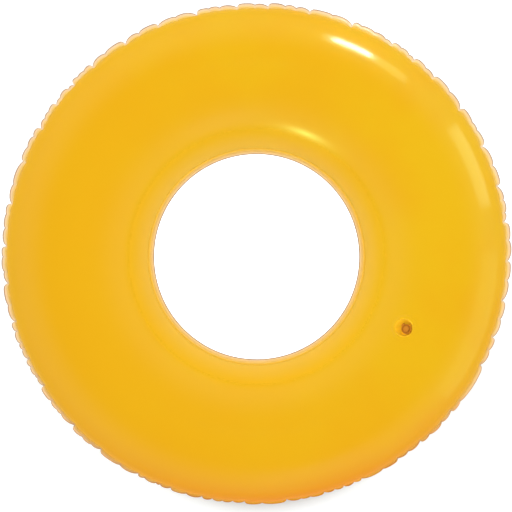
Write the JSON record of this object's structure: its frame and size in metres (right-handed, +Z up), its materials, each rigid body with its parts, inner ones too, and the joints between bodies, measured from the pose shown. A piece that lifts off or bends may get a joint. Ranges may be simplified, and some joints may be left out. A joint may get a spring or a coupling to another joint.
{
  "type": "inflatable swim ring",
  "caption": "Round inflatable swim ring of two welded translucent vinyl sheets, with a sunk air valve, a tethered plug and a check flap.",
  "frame": {"origin": "on the surface that the ring lies on, under the centre of its hole", "axes": "+Z up along the ring's axis through its hole, +X from the hole's centre towards the air valve"},
  "size_m": [0.7619, 0.762, 0.1896],
  "materials": {
    "vinyl_sheet": "satin",
    "welded_edge": "satin",
    "valve_vinyl": "satin",
    "valve_film": "satin",
    "plug_vinyl": "satin"
  },
  "bodies": {
    "ring": {"top_skin": "vinyl_sheet", "bottom_skin": "vinyl_sheet", "outer_seam": "welded_edge", "inner_seam": "welded_edge", "valve_base": "valve_vinyl", "valve_cup": "valve_vinyl"},
    "stem": {"valve_stem": "valve_vinyl", "flap_seat": "valve_vinyl", "tether_collar": "plug_vinyl"},
    "flap": {"check_flap": "valve_film"},
    "stopper": {"plug": "plug_vinyl", "tether_strap": "plug_vinyl"}
  },
  "joints": [
    {"name": "valve_pop", "type": "slide", "parent": "ring", "child": "stem", "axis": [-0.3285, 0, 0.9445], "range_m": [0, 0.018], "deforming": ["valve_cup"]},
    {"name": "plug_pull", "type": "slide", "parent": "stem", "child": "stopper", "axis": [-0.3285, 0, 0.9445], "range_m": [0, 0.0076], "deforming": ["tether_strap"]},
    {"name": "flap_open", "type": "hinge", "parent": "stem", "child": "flap", "pos_m": [0.24314, 0, 0.1615], "axis": [0, 1, 0], "range_deg": [0, 40], "stiffness_Nm_per_rad": 0.0001, "springref_deg": -17.19}
  ]
}
